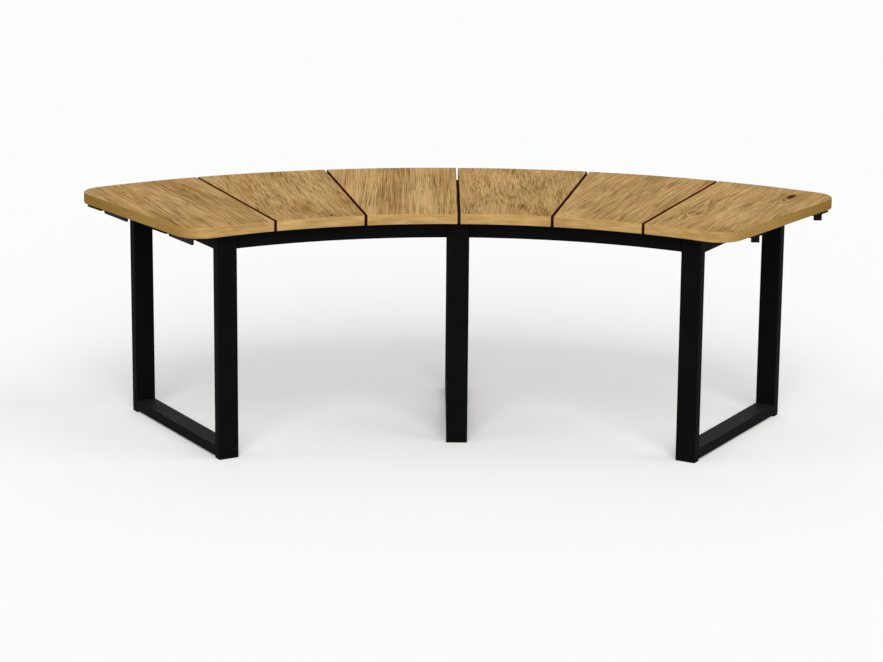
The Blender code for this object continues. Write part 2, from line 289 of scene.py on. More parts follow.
def leg_frame_tree():
    """Closed frame of rectangular tube in a radial plane, its joints ground flush.

    A grid stands in that plane with its middle face left out, and the edges across it are rounded less.
    """
    tree, given, made = group_tree(
        "leg_frame",
        "GeometryNodeTree",
        [
            ("Front Radius", LENGTH, 0.8),
            ("Rear Radius", LENGTH, 1.2),
            ("Base", LENGTH, 0.0),
            ("Top", LENGTH, 0.4),
            ("Tube Depth", LENGTH, 0.02),
            ("Top Tube Height", LENGTH, 0.03),
            ("Tube Width", LENGTH, 0.04),
            ("Turn", LENGTH, 0.0),
            ("Centre", "NodeSocketVector", None),
            ("Material", "NodeSocketMaterial", None),
        ],
        [("Geometry", "NodeSocketGeometry")],
    )
    m = partial(maths, tree)
    depth = given["Tube Depth"]
    stations = [
        (given["Front Radius"], given["Base"]),
        (m("ADD", given["Front Radius"], depth), m("ADD", given["Base"], depth)),
        (
            m("SUBTRACT", given["Rear Radius"], depth),
            m("SUBTRACT", given["Top"], given["Top Tube Height"]),
        ),
        (given["Rear Radius"], given["Top"]),
    ]
    lines = len(stations)
    middle_face = 4
    crosswise_run = 0.001
    crosswise_loss = 0.6
    index = add(tree, "GeometryNodeInputIndex").outputs[0]
    column = m("FLOOR", m("DIVIDE", m("ADD", index, 0.5), float(lines)))
    row = m("SUBTRACT", index, m("MULTIPLY", column, float(lines)))

    grid = add(tree, "GeometryNodeMeshGrid", {"Vertices X": lines, "Vertices Y": lines})
    spot = add(
        tree,
        "ShaderNodeCombineXYZ",
        {
            "X": m("MULTIPLY", given["Tube Width"], -0.5),
            "Y": chosen(tree, column, [station[0] for station in stations]),
            "Z": chosen(tree, row, [station[1] for station in stations]),
        },
    )
    sheet = set_points(tree, grid.outputs[0], spot.outputs[0])
    pair = {2: index, 3: middle_face}
    middle = add(tree, "FunctionNodeCompare", pair, data_type="INT", operation="EQUAL")
    ring = add(
        tree,
        "GeometryNodeDeleteGeometry",
        {"Geometry": sheet, "Selection": middle.outputs[0]},
        domain="FACE",
    )
    aside = add(tree, "ShaderNodeCombineXYZ", {"X": given["Tube Width"]})
    solid = solid_between(tree, ring.outputs[0], aside.outputs[0])
    fold = add(tree, "GeometryNodeInputMeshEdgeAngle").outputs[0]
    ends = add(tree, "GeometryNodeInputMeshEdgeVertices")
    run = add(
        tree,
        "ShaderNodeVectorMath",
        {0: ends.outputs["Position 1"], 1: ends.outputs["Position 2"]},
        operation="SUBTRACT",
    )
    sideways = add(tree, "ShaderNodeSeparateXYZ", {0: run.outputs[0]}).outputs["X"]
    crosswise = m("GREATER_THAN", m("ABSOLUTE", sideways), crosswise_run)
    share = m("SUBTRACT", 1.0, m("MULTIPLY", crosswise, crosswise_loss))
    marked = weighted(tree, solid, m("MULTIPLY", m("GREATER_THAN", fold, sharp_angle), share))
    turned = add(tree, "ShaderNodeCombineXYZ", {"Z": m("MULTIPLY", given["Turn"], -1.0)})
    placed = add(
        tree,
        "GeometryNodeTransform",
        {"Geometry": marked, "Translation": given["Centre"], "Rotation": turned.outputs[0]},
    )
    smooth = add(tree, "GeometryNodeSetShadeSmooth", {"Geometry": placed.outputs[0]})
    hand_out(tree, smooth.outputs[0], given["Material"], made)
    return tree


def screw_tree():
    """Socket-head screws under a ring of slabs, two to a slab.

    A grid is rolled into the head. Its rows follow the profile, and in the rows after the
    socket's start every other column is drawn in, so that they form a hexagon.
    """
    tree, given, made = group_tree(
        "screw_row",
        "GeometryNodeTree",
        [
            ("Ring Radius", LENGTH, 1.0),
            ("Height", LENGTH, 0.4),
            ("Slabs", "NodeSocketInt", 6),
            ("Pitch", LENGTH, 0.2),
            ("Spread", LENGTH, 0.05),
            ("Head Radius", LENGTH, 0.005),
            ("Head Height", LENGTH, 0.003),
            ("Socket Radius", LENGTH, 0.002),
            ("Centre", "NodeSocketVector", None),
            ("Seed", "NodeSocketInt", 3),
            ("Material", "NodeSocketMaterial", None),
        ],
        [("Geometry", "NodeSocketGeometry")],
    )
    m = partial(maths, tree)
    sides = 12
    columns = float(sides + 1)
    socket_start = 5.5
    hexagon_inset = 0.134
    hexagon_step = radians(60.0)
    index = add(tree, "GeometryNodeInputIndex").outputs[0]
    head, high, socket = given["Head Radius"], given["Head Height"], given["Socket Radius"]
    profile = [
        (0.0, 0.0),
        (head, 0.0),
        (head, m("MULTIPLY", high, 0.45)),
        (m("MULTIPLY", head, 0.90), m("MULTIPLY", high, 0.80)),
        (m("MULTIPLY", head, 0.70), high),
        (m("MULTIPLY", head, 0.55), high),
        (socket, high),
        (socket, m("MULTIPLY", high, 0.35)),
        (0.0, m("MULTIPLY", high, 0.35)),
    ]
    grid = add(tree, "GeometryNodeMeshGrid", {"Vertices X": len(profile), "Vertices Y": sides + 1})
    ring_number = m("FLOOR", m("DIVIDE", m("ADD", index, 0.5), columns))
    side_number = m("SUBTRACT", index, m("MULTIPLY", ring_number, columns))

    radius, drop = (chosen(tree, ring_number, list(column)) for column in zip(*profile))
    turn = m("MULTIPLY", side_number, 2 * half_turn / sides)
    is_socket = m("GREATER_THAN", ring_number, socket_start)
    odd = m("MODULO", side_number, 2.0)
    hexed = m("SUBTRACT", 1.0, m("MULTIPLY", m("MULTIPLY", is_socket, odd), hexagon_inset))
    reach = m("MULTIPLY", radius, hexed)
    spot = add(
        tree,
        "ShaderNodeCombineXYZ",
        {
            "X": m("MULTIPLY", reach, m("SINE", turn)),
            "Y": m("MULTIPLY", reach, m("COSINE", turn)),
            "Z": m("MULTIPLY", drop, -1.0),
        },
    )
    closed = merged(tree, set_points(tree, grid.outputs[0], spot.outputs[0]))

    count = m("MULTIPLY", given["Slabs"], 2.0)
    row = add(tree, "GeometryNodeMeshLine", {"Count": count})
    slab_number = m("FLOOR", m("DIVIDE", m("ADD", index, 0.5), 2.0))
    side = m("SUBTRACT", m("MULTIPLY", m("SUBTRACT", index, m("MULTIPLY", slab_number, 2.0)), 2.0), 1.0)
    middle = m("MULTIPLY", m("SUBTRACT", given["Slabs"], 1.0), 0.5)
    angle = m("ADD", m("MULTIPLY", m("SUBTRACT", slab_number, middle), given["Pitch"]),
              m("MULTIPLY", side, given["Spread"]))
    around = add(
        tree,
        "ShaderNodeCombineXYZ",
        {
            "X": m("MULTIPLY", given["Ring Radius"], m("SINE", angle)),
            "Y": m("MULTIPLY", given["Ring Radius"], m("COSINE", angle)),
            "Z": given["Height"],
        },
    )
    here = add(tree, "ShaderNodeVectorMath", {0: around.outputs[0], 1: given["Centre"]}, operation="ADD")
    points = set_points(tree, row.outputs[0], here.outputs[0])
    chance = add(
        tree,
        "FunctionNodeRandomValue",
        {"Min": (0.0, 0.0, 0.0), "Max": (0.0, 0.0, hexagon_step), "Seed": given["Seed"]},
        data_type="FLOAT_VECTOR",
    )
    heads = add(
        tree,
        "GeometryNodeInstanceOnPoints",
        {"Points": points, "Instance": closed, "Rotation": chance.outputs[0]},
    )
    hand_out(tree, heads.outputs[0], given["Material"], made)
    return tree


# Finishes

VECTOR = "NodeSocketVector"


def use(tree, group, inputs):
    """Outputs of a shader group at work in a tree."""
    return add(tree, "ShaderNodeGroup", inputs, node_tree=group).outputs


def span(tree, value, low, high, to_low=0.0, to_high=1.0):
    """Value from one range to another, held at its ends."""
    inputs = {"Value": value, "From Min": low, "From Max": high, "To Min": to_low, "To Max": to_high}
    return add(tree, "ShaderNodeMapRange", inputs).outputs[0]


def blend(tree, factor, first, second):
    """Mix of two colours."""
    colours = {0: factor}
    for number, colour in ((6, first), (7, second)):
        colours[number] = colour if isinstance(colour, bpy.types.NodeSocket) else (*colour, 1.0)
    return add(tree, "ShaderNodeMix", colours, data_type="RGBA").outputs[2]


def stretched(tree, vector, scale):
    """Vector with each part multiplied by its own number."""
    inputs = {0: vector, 1: scale}
    return add(tree, "ShaderNodeVectorMath", inputs, operation="MULTIPLY").outputs[0]


def cloud(tree, vector, scale, detail=2.0, roughness=0.5, distortion=0.0):
    """Noise on stretched coordinates."""
    inputs = {
        "Vector": stretched(tree, vector, scale),
        "Scale": 1.0,
        "Detail": detail,
        "Roughness": roughness,
        "Distortion": distortion,
    }
    return add(tree, "ShaderNodeTexNoise", inputs).outputs[0]


def ripple(tree, *looks):
    """Noise that swings about nought."""
    return maths(tree, "SUBTRACT", cloud(tree, *looks), 0.5)


# Fineness of the oak's layers, in waves to a metre across the fibres, along them and down
grain_warp = (10.0, 2.6, 10.0)
line_patches = (52.0, 7.0, 52.0)
long_stroke = (410.0, 9.0, 410.0)
short_stroke = (500.0, 28.0, 500.0)
stroke_patches = (19.0, 9.0, 19.0)
pore = (1300.0, 70.0, 1300.0)
tone_zones = (17.0, 7.0, 17.0)
tone_bands = (130.0, 3.5, 130.0)
fine_grain = (520.0, 22.0, 520.0)
warmth_zones = (12.0, 5.0, 12.0)
warmth_bands = (60.0, 9.0, 60.0)
knot_rim = (300.0, 120.0, 1.0)
side_lines = (90.0, 7.0, 330.0)
side_pores = (300.0, 26.0, 900.0)

# The same for the front and rear edges, along X, Y and Z
edge_streaks = (20.0, 20.0, 230.0)
edge_patches = (22.0, 22.0, 60.0)
edge_dots = (900.0, 900.0, 700.0)

# Growth rings and fine parallel lines: count to a metre and how far the warp bends them
ring_count, ring_bend = 70.0, 9.0
line_count, line_bend = 215.0, 30.0

# Staves: count to a metre along the grain, furthest shift of a row, shift of the grain
stave_count, row_shift, grain_shift = 0.9, 9.0, (3.0, 5.0, 2.0)
board_middle = (0.0, 1.04, 0.0)

# Steps that give each board and each row of staves its own random numbers
seed_step, row_step = 7.31, 1.7

# Strength of the strokes
line_strength = 0.85
short_stroke_strength = 0.85
pore_strength = 0.35
side_pore_strength = 0.35

# Swing of the tone
stave_swing = 1.1
zone_swing = 0.85
band_swing = 0.7
fine_swing = 3.0
ring_shade = 0.22
side_swing = 1.1
streak_swing, patch_swing, dot_swing = 0.7, 0.5, 0.45

# Knots: raggedness of the rim, how fast the halo dies away and how fast the push builds up
rim_swing, halo_falloff, push_rise = 1.1, 0.12, 0.8


def board_figure_group():
    """Grain of a glued-up board: X runs across the staves and Y along them."""
    tree, given, made = group_tree(
        "board_figure",
        "ShaderNodeTree",
        [("Place", VECTOR, None), ("Seed", LENGTH, 0.0), ("Lean", LENGTH, 0.0),
         ("Stave Width", LENGTH, 0.06), ("Stave Contrast", LENGTH, 0.3), ("Shortness", LENGTH, 1.0)],
        [("Tone", LENGTH), ("Strokes", LENGTH), ("Warmth", LENGTH), ("Glue Line", LENGTH)],
    )
    m = partial(maths, tree)
    turned = {"Vector": given["Place"], "Center": board_middle, "Angle": given["Lean"]}
    place = add(tree, "ShaderNodeVectorRotate", turned, rotation_type="Z_AXIS").outputs[0]
    split = add(tree, "ShaderNodeSeparateXYZ", {0: place}).outputs
    across = m("DIVIDE", split["X"], given["Stave Width"])
    across = m("ADD", across, m("MULTIPLY", given["Seed"], seed_step))
    row = m("FLOOR", across)
    within = m("FRACT", across)
    row_chance = add(
        tree,
        "ShaderNodeTexWhiteNoise",
        {"W": m("ADD", m("MULTIPLY", row, row_step), given["Seed"])},
        noise_dimensions="1D",
    ).outputs["Value"]
    along = m("ADD", m("MULTIPLY", split["Y"], stave_count), m("MULTIPLY", row_chance, row_shift))
    length = m("FLOOR", along)
    stave = add(tree, "ShaderNodeCombineXYZ", {"X": row, "Y": length, "Z": given["Seed"]}).outputs[0]
    chance = add(tree, "ShaderNodeTexWhiteNoise", {"Vector": stave}, noise_dimensions="3D").outputs
    shift = stretched(tree, chance["Color"], grain_shift)
    run = add(tree, "ShaderNodeCombineXYZ", {"X": 1.0, "Y": given["Shortness"], "Z": 1.0}).outputs[0]
    fibre = stretched(tree, place, run)
    grain = add(tree, "ShaderNodeVectorMath", {0: fibre, 1: shift}, operation="ADD").outputs[0]
    warp = cloud(tree, grain, grain_warp, 1.2, 0.55)
    grain_x = add(tree, "ShaderNodeSeparateXYZ", {0: grain}).outputs["X"]
    ring = m("FRACT", m("ADD", m("MULTIPLY", grain_x, ring_count), m("MULTIPLY", warp, ring_bend)))
    early = m("MULTIPLY", ring, ring)
    lines = m("FRACT", m("ADD", m("MULTIPLY", grain_x, line_count), m("MULTIPLY", warp, line_bend)))
    lines = m("MULTIPLY", span(tree, lines, 0.45, 0.95),
              span(tree, cloud(tree, grain, line_patches), 0.45, 0.62, 0.0, line_strength))
    long_strokes = span(tree, cloud(tree, grain, long_stroke, 3.0, 0.6, 0.1), 0.525, 0.60)
    short_strokes = span(tree, cloud(tree, grain, short_stroke, 3.0, 0.65, 0.1), 0.545, 0.63)
    density = span(tree, cloud(tree, place, stroke_patches, 1.0), 0.38, 0.62, 0.36, 1.04)
    pores = span(tree, cloud(tree, grain, pore, 1.0), 0.58, 0.70)
    strokes = m("MAXIMUM", m("MULTIPLY", long_strokes, span(tree, early, 0.0, 0.8, 0.30, 1.0)),
                m("MULTIPLY", short_strokes, short_stroke_strength))
    strokes = m("MAXIMUM", strokes, lines)
    strokes = m("MAXIMUM", m("MULTIPLY", strokes, density), m("MULTIPLY", pores, pore_strength))
    stave_tone = m("MULTIPLY", m("SUBTRACT", chance["Value"], 0.5), stave_swing)
    tone = m("MULTIPLY", stave_tone, given["Stave Contrast"])
    tone = m("MULTIPLY_ADD", ripple(tree, place, tone_zones), zone_swing, tone)
    tone = m("MULTIPLY_ADD", ripple(tree, grain, tone_bands), band_swing, tone)
    fine = m("MULTIPLY", ripple(tree, grain, fine_grain), fine_swing)
    tone = m("MULTIPLY_ADD", fine, m("ADD", m("MULTIPLY", density, 0.6), 0.4), tone)
    tone = m("SUBTRACT", tone, m("MULTIPLY", early, ring_shade))
    warmth = m("ADD", m("MULTIPLY", cloud(tree, place, warmth_zones, 1.0), 0.6),
               m("MULTIPLY", cloud(tree, grain, warmth_bands), 0.4))
    edge = m("MINIMUM", within, m("SUBTRACT", 1.0, within))
    tree.links.new(tone, made["Tone"])
    tree.links.new(strokes, made["Strokes"])
    tree.links.new(span(tree, warmth, 0.38, 0.62), made["Warmth"])
    tree.links.new(span(tree, edge, 0.004, 0.014, 1.0, 0.0), made["Glue Line"])
    return tree


def knot_group():
    """Knot: a mask, the shade round it and the place pushed aside by it."""
    tree, given, made = group_tree(
        "knot",
        "ShaderNodeTree",
        [("Place", VECTOR, None), ("Middle", VECTOR, None), ("Width", LENGTH, 0.005),
         ("Length", LENGTH, 0.012), ("Lean", LENGTH, 0.0), ("Push", LENGTH, 1.0)],
        [("Knot", LENGTH), ("Halo", LENGTH), ("Place", VECTOR)],
    )
    m = partial(maths, tree)
    place = given["Place"]
    off = add(tree, "ShaderNodeVectorMath", {0: place, 1: given["Middle"]}, operation="SUBTRACT")
    turned = {"Vector": off.outputs[0], "Angle": given["Lean"]}
    off = add(tree, "ShaderNodeVectorRotate", turned, rotation_type="Z_AXIS").outputs[0]
    split = add(tree, "ShaderNodeSeparateXYZ", {0: off}).outputs
    rough = m("MULTIPLY", ripple(tree, place, knot_rim), rim_swing)
    x = m("DIVIDE", split["X"], given["Width"])
    y = m("DIVIDE", split["Y"], given["Length"])
    far = m("SQRT", m("ADD", m("MULTIPLY", x, x), m("MULTIPLY", y, y)))
    uneven = m("ADD", far, rough)
    halo = m("POWER", 0.5, m("MULTIPLY", m("MULTIPLY", far, far), halo_falloff))
    push = m("MULTIPLY", m("MULTIPLY", m("MULTIPLY", halo, given["Push"]), given["Width"]),
             m("TANH", m("MULTIPLY", x, push_rise)))
    moved = add(tree, "ShaderNodeCombineXYZ", {"X": m("MULTIPLY", push, -1.0)}).outputs[0]
    pushed = add(tree, "ShaderNodeVectorMath", {0: place, 1: moved}, operation="ADD").outputs[0]
    tree.links.new(span(tree, uneven, 0.75, 1.15, 1.0, 0.0), made["Knot"])
    tree.links.new(halo, made["Halo"])
    tree.links.new(pushed, made["Place"])
    return tree


def new_finish(name, **constants):
    """Material with a Principled shader whose plain numbers are set on its own sockets."""
    material = bpy.data.materials.new(name)
    material.use_nodes = True
    tree = material.node_tree
    shader = tree.nodes["Principled BSDF"]
    for socket, value in constants.items():
        shader.inputs[socket.replace("_", " ")].default_value = value
    return material, tree, shader


# Colours of the oiled oak, with painted shade for the seams and the backs of the end faces
wood_light = (0.60, 0.392, 0.163)
wood_dark = (0.27, 0.145, 0.037)
wood_stroke = (0.135, 0.057, 0.007)
tint_cool = (0.975, 1.010, 1.025)
tint_warm = (1.025, 0.990, 0.975)
# Edge grain of the oak, set lighter than the top's colour: in part this is painted light for the lit
# front edges
wood_edge_light = (0.52, 0.334, 0.135)
wood_edge_dark = (0.315, 0.185, 0.058)
wood_side = (0.32, 0.190, 0.052)
# Painted shade: the colour the end faces fade to towards the back of the seat
wood_side_painted_shade = (0.180, 0.100, 0.010)
wood_under = (0.22, 0.180, 0.125)
# Painted shade for the gaps between boards, put on their side faces
seam_painted_shade = (0.070, 0.007, 0.001)
wood_knot = (0.035, 0.008, 0.0005)

# Strength of the strokes, the glue lines and the colour of the side faces, then roughness and relief
stroke_strength = 0.88
glue_strength = 0.25
side_strength = 0.85
wood_roughness = 0.70
stroke_roughness = 0.15
grain_depth = 0.0002
grain_relief = 0.35


def board_wood(number, turn, seed, lean, stave_contrast, shortness, level, marks):
    """Oiled oak for one board, its grain along the board's own middle line."""
    material, tree, shader = new_finish(f"oiled_hardwood_{number}", Specular_IOR_Level=0.02)
    m = partial(maths, tree)
    world_place = add(tree, "ShaderNodeTexCoord").outputs["Object"]
    mapping = add(tree, "ShaderNodeMapping", {"Vector": world_place}, vector_type="TEXTURE")
    mapping.inputs["Location"].default_value = ring_centre
    mapping.inputs["Rotation"].default_value = (0.0, 0.0, -turn)
    place = mapping.outputs[0]
    heart, shade = 0.0, 0.0
    for core, depth, middle, width, length, push in marks:
        sizes = {"Middle": (*middle, 0.0), "Width": width, "Length": length, "Push": push}
        found = use(tree, knot, {"Place": place, "Lean": radians(lean), **sizes})
        place = found["Place"]
        heart = m("MAXIMUM", heart, m("MULTIPLY", found["Knot"], core))
        shade = m("MULTIPLY_ADD", found["Halo"], depth, shade)
    looks = {
        "Place": place,
        "Seed": seed,
        "Lean": radians(lean),
        "Stave Contrast": stave_contrast,
        "Shortness": shortness,
    }
    figure = use(tree, board_figure, looks)
    tone = m("SUBTRACT", m("ADD", figure["Tone"], level), shade)
    colour = blend(tree, span(tree, tone, 0.0, 1.0), wood_dark, wood_light)
    colour = blend(tree, m("MULTIPLY", figure["Strokes"], stroke_strength), colour, wood_stroke)
    tint = blend(tree, figure["Warmth"], tint_cool, tint_warm)
    colour = add(tree, "ShaderNodeVectorMath", {0: colour, 1: tint}, operation="MULTIPLY").outputs[0]
    colour = blend(tree, m("MULTIPLY", figure["Glue Line"], glue_strength), colour, wood_stroke)
    colour = blend(tree, heart, colour, wood_knot)

    normal = add(tree, "ShaderNodeNewGeometry").outputs["Normal"]
    rise = add(tree, "ShaderNodeSeparateXYZ", {0: normal}).outputs["Z"]
    aside = Matrix.Rotation(-turn, 3, "Z") @ Vector((1.0, 0.0, 0.0))
    facing = add(tree, "ShaderNodeVectorMath", {0: normal, 1: aside}, operation="DOT_PRODUCT")
    turned = facing.outputs["Value"]
    streak = cloud(tree, world_place, edge_streaks, 3.0, 0.6)
    patch = cloud(tree, world_place, edge_patches, 1.0)
    dots = ripple(tree, world_place, edge_dots, 1.0)
    edge_tone = m("ADD", m("MULTIPLY", streak, streak_swing), m("MULTIPLY", patch, patch_swing))
    edge_tone = m("MULTIPLY_ADD", dots, dot_swing, edge_tone)
    # The edges' lighter tone is in part painted light on the front edges; the streaks, patches and dots
    # are grain
    edge_colour = blend(tree, span(tree, edge_tone, 0.40, 0.80), wood_edge_dark, wood_edge_light)
    # Painted shade: the end faces grow darker towards the back, for light that falls off there; the side
    # lines and pores are grain
    far = span(tree, add(tree, "ShaderNodeSeparateXYZ", {0: place}).outputs["Y"], 0.95, 1.22)
    side_line = ripple(tree, place, side_lines, 3.0, 0.6)
    side_pore = span(tree, cloud(tree, place, side_pores), 0.56, 0.70, 0.0, side_pore_strength)
    side_colour = blend(tree, m("MULTIPLY_ADD", side_line, side_swing, far), wood_side, wood_side_painted_shade)
    side_colour = blend(tree, side_pore, side_colour, wood_stroke)
    side = m("MULTIPLY", span(tree, m("ABSOLUTE", turned), 0.45, 0.95), side_strength)
    edge_colour = blend(tree, side, edge_colour, side_colour)
    colour = blend(tree, span(tree, rise, -0.8, -0.6, 0.5, 0.0), colour, wood_under)
    colour = blend(tree, span(tree, m("ABSOLUTE", rise), 0.55, 0.85), edge_colour, colour)
    # Painted shade: the side faces in the gaps between boards, and the rounded edges next to them, take
    # a near-black red-brown for the shade in the gaps
    if number > 1:
        colour = blend(tree, span(tree, m("MULTIPLY", turned, -1.0), 0.20, 0.50), colour, seam_painted_shade)
    if number < slab_count:
        colour = blend(tree, span(tree, turned, 0.20, 0.50), colour, seam_painted_shade)
    tree.links.new(colour, shader.inputs["Base Color"])
    rough = m("ADD", wood_roughness, m("MULTIPLY", figure["Strokes"], stroke_roughness))
    tree.links.new(rough, shader.inputs["Roughness"])
    height = m("MULTIPLY", m("MAXIMUM", figure["Strokes"], heart), -1.0)
    relief = {"Height": height, "Distance": grain_depth, "Strength": grain_relief}
    bump = add(tree, "ShaderNodeBump", relief)
    tree.links.new(bump.outputs[0], shader.inputs["Normal"])
    return material


# Skin and dust of the black finishes, in waves to a metre and in strengths
sheen_zones = (14.0, 14.0, 9.0)
dust_patches = (30.0, 30.0, 30.0)
dust_grey = (0.16, 0.15, 0.14)
sheen_lift = 1.35
sheen_swing = 0.05
dust_roughness = 0.3
skin_relief = 0.5


def grit_group():
    """Fine skin of a powder coat or moulding, with slow changes of sheen."""
    tree, given, made = group_tree(
        "grit",
        "ShaderNodeTree",
        [("Place", VECTOR, None), ("Grain", LENGTH, 700.0)],
        [("Height", LENGTH), ("Sheen", LENGTH)],
    )
    fine = add(
        tree,
        "ShaderNodeTexNoise",
        {"Vector": given["Place"], "Scale": given["Grain"], "Detail": 3.0, "Roughness": 0.6},
    ).outputs[0]
    slow = cloud(tree, given["Place"], sheen_zones, 3.0, 0.6)
    tree.links.new(fine, made["Height"])
    tree.links.new(span(tree, slow, 0.3, 0.7, -1.0, 1.0), made["Sheen"])
    return tree


def dust_group():
    """Fine dust that settles on faces that look up."""
    tree, given, made = group_tree(
        "settled_dust",
        "ShaderNodeTree",
        [("Place", VECTOR, None), ("Normal", VECTOR, None), ("Amount", LENGTH, 0.3)],
        [("Dust", LENGTH)],
    )
    rise = add(tree, "ShaderNodeSeparateXYZ", {0: given["Normal"]}).outputs["Z"]
    patch = span(tree, cloud(tree, given["Place"], dust_patches, 4.0, 0.65), 0.3, 0.7, 0.5, 1.0)
    lying = maths(tree, "MULTIPLY", span(tree, rise, 0.6, 0.98), patch)
    tree.links.new(maths(tree, "MULTIPLY", lying, given["Amount"]), made["Dust"])
    return tree


grit = grit_group()
settled_dust = dust_group()


def coated(name, colour, roughness, level, grain, depth, dust):
    """Black finish with a fine skin and a little dust."""
    material, tree, shader = new_finish(name, Specular_IOR_Level=level)
    place = add(tree, "ShaderNodeTexCoord").outputs["Object"]
    normal = add(tree, "ShaderNodeNewGeometry").outputs["Normal"]
    skin = use(tree, grit, {"Place": place, "Grain": grain})
    lying = use(tree, settled_dust, {"Place": place, "Normal": normal, "Amount": dust})["Dust"]
    lighter = [sheen_lift * part for part in colour]
    shade = blend(tree, span(tree, skin["Sheen"], -1.0, 1.0), colour, lighter)
    tree.links.new(blend(tree, lying, shade, dust_grey), shader.inputs["Base Color"])
    rough = maths(tree, "MULTIPLY_ADD", skin["Sheen"], sheen_swing, roughness)
    tree.links.new(maths(tree, "MULTIPLY_ADD", lying, dust_roughness, rough), shader.inputs["Roughness"])
    relief = {"Height": skin["Height"], "Distance": depth, "Strength": skin_relief}
    bump = add(tree, "ShaderNodeBump", relief)
    tree.links.new(bump.outputs[0], shader.inputs["Normal"])
    return material


# Black finishes: colour, roughness, specular level, fineness and depth of the skin, dust
black_looks = {
    "black_powder_coat": ((0.0030, 0.0030, 0.0031), 0.55, 0.014, 900.0, 0.00008, 0.07),
    "link_hardware_black": ((0.0045, 0.0043, 0.0045), 0.42, 0.05, 1400.0, 0.00004, 0.05),
    "foot_pad_black": ((0.0040, 0.0040, 0.0040), 0.65, 0.03, 500.0, 0.00010, 0.08),
}
finish_of = {slot: coated(slot, *looks) for slot, looks in black_looks.items()}
coat = finish_of["black_powder_coat"]
hardware = finish_of["link_hardware_black"]

board_figure = board_figure_group()
knot = knot_group()

# Each board: seed, lean of the grain in degrees, contrast of the staves, shortness of the fibres, tone
board_looks = (
    (0.31, 5.5, 0.18, 0.6, 0.57),
    (1.17, 5.5, 0.18, 0.9, 0.57),
    (2.43, 5.5, 0.18, 0.3, 0.74),
    (3.59, -6.0, 0.20, 0.85, 0.61),
    (4.71, 2.5, 0.18, 0.5, 0.58),
    (5.23, -5.0, 0.18, 0.75, 0.74),
)

# Knots and tone zones: heart, shade, middle across and along the board, width, length, push
board_marks = {
    1: [
        (0.0, 0.32, (0.055, 1.165), 0.009, 0.055, 0.0),
        (0.0, -0.22, (0.005, 1.060), 0.004, 0.120, 0.0),
        (0.0, -0.18, (-0.037, 1.080), 0.006, 0.080, 0.0),
        (0.0, 0.15, (-0.090, 0.900), 0.012, 0.030, 0.0),
    ],
    2: [
        (1.0, 0.45, (0.0251, 0.8430), 0.0026, 0.0065, 2.0),
        (0.0, 0.30, (0.000, 0.935), 0.007, 0.011, 0.5),
        (0.0, -0.26, (0.018, 1.060), 0.016, 0.026, 0.0),
        (0.0, 0.15, (-0.080, 1.130), 0.008, 0.040, 0.0),
    ],
    3: [
        (0.0, 0.50, (-0.014, 1.040), 0.0018, 0.090, 0.0),
        (0.0, 0.25, (-0.036, 1.040), 0.0025, 0.090, 0.0),
        (0.0, -0.28, (0.036, 0.970), 0.0045, 0.090, 0.0),
        (0.0, -0.30, (-0.052, 1.080), 0.0020, 0.060, 0.0),
        (0.0, 0.30, (0.090, 1.150), 0.0050, 0.030, 0.0),
        (0.0, 0.25, (-0.082, 1.190), 0.0070, 0.025, 0.0),
    ],
    4: [
        (1.0, 0.45, (0.0255, 0.9094), 0.0026, 0.0065, 2.0),
        (0.0, 0.32, (-0.006, 0.995), 0.007, 0.016, 0.8),
        (0.0, 0.30, (0.045, 1.090), 0.005, 0.014, 0.5),
        (0.0, -0.25, (-0.013, 1.118), 0.012, 0.016, 0.0),
        (0.0, 0.25, (0.080, 1.150), 0.004, 0.040, 0.0),
    ],
    5: [
        (0.0, -0.35, (-0.068, 0.885), 0.011, 0.028, 0.0),
        (0.0, 0.20, (-0.022, 0.925), 0.004, 0.016, 0.3),
    ],
    6: [
        (1.0, 0.40, (0.0512, 1.1892), 0.0070, 0.0210, 1.6),
        (0.0, 0.15, (-0.045, 0.965), 0.010, 0.016, 2.0),
        (0.0, 0.25, (0.025, 0.850), 0.012, 0.008, 0.6),
        (0.0, -0.15, (0.028, 0.965), 0.018, 0.020, 0.0),
        (0.0, 0.18, (0.004, 1.180), 0.006, 0.020, 0.0),
        (0.0, 0.12, (0.088, 1.190), 0.010, 0.024, 0.0),
    ],
}


# Seat, rails, legs, strips and screws

ring_sector = ring_sector_tree()


def rounded(edge_radius):
    """Modifiers that round the weighted edges and keep the flat faces flat in the light."""
    bevel = {
        "limit_method": "WEIGHT",
        "segments": bevel_segments,
        "use_clamp_overlap": False,
        "width": edge_radius,
    }
    shading = {"keep_sharp": True, "weight": shading_weight}
    return [("BEVEL", bevel), ("WEIGHTED_NORMAL", shading)]


def sector(name, node, slot, edge_radius, **sizes):
    """Ring sector that takes the place of one node."""
    values = {key.replace("_", " "): value for key, value in sizes.items()}
    values["Centre"] = ring_centre
    piece = shaped(name, ring_sector, values, rounded(edge_radius))
    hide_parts(node)
    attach(piece, "root")


for number in range(slab_count):
    middle_turn = slab_pitch * (number + 0.5) - end_plane
    board = board_wood(number + 1, middle_turn, *board_looks[number], board_marks.get(number + 1, []))
    sector(
        f"seat_board_{number + 1}",
        f"seat_slab_{number + 1}",
        "oiled_hardwood",
        slab_edge_radius,
        Inner_Radius=seat_inner_radius,
        Depth=seat_depth,
        Left_Plane=middle_turn - slab_pitch / 2,
        Right_Plane=middle_turn + slab_pitch / 2,
        Left_Inset=slab_half_gap,
        Right_Inset=slab_half_gap,
        Left_Corner_Radius=seat_end_corner_radius if number == 0 else 0.0,
        Right_Corner_Radius=seat_end_corner_radius if number == slab_count - 1 else 0.0,
        Bottom=slab_bottom,
        Thickness=slab_thickness,
        Material=board,
    )

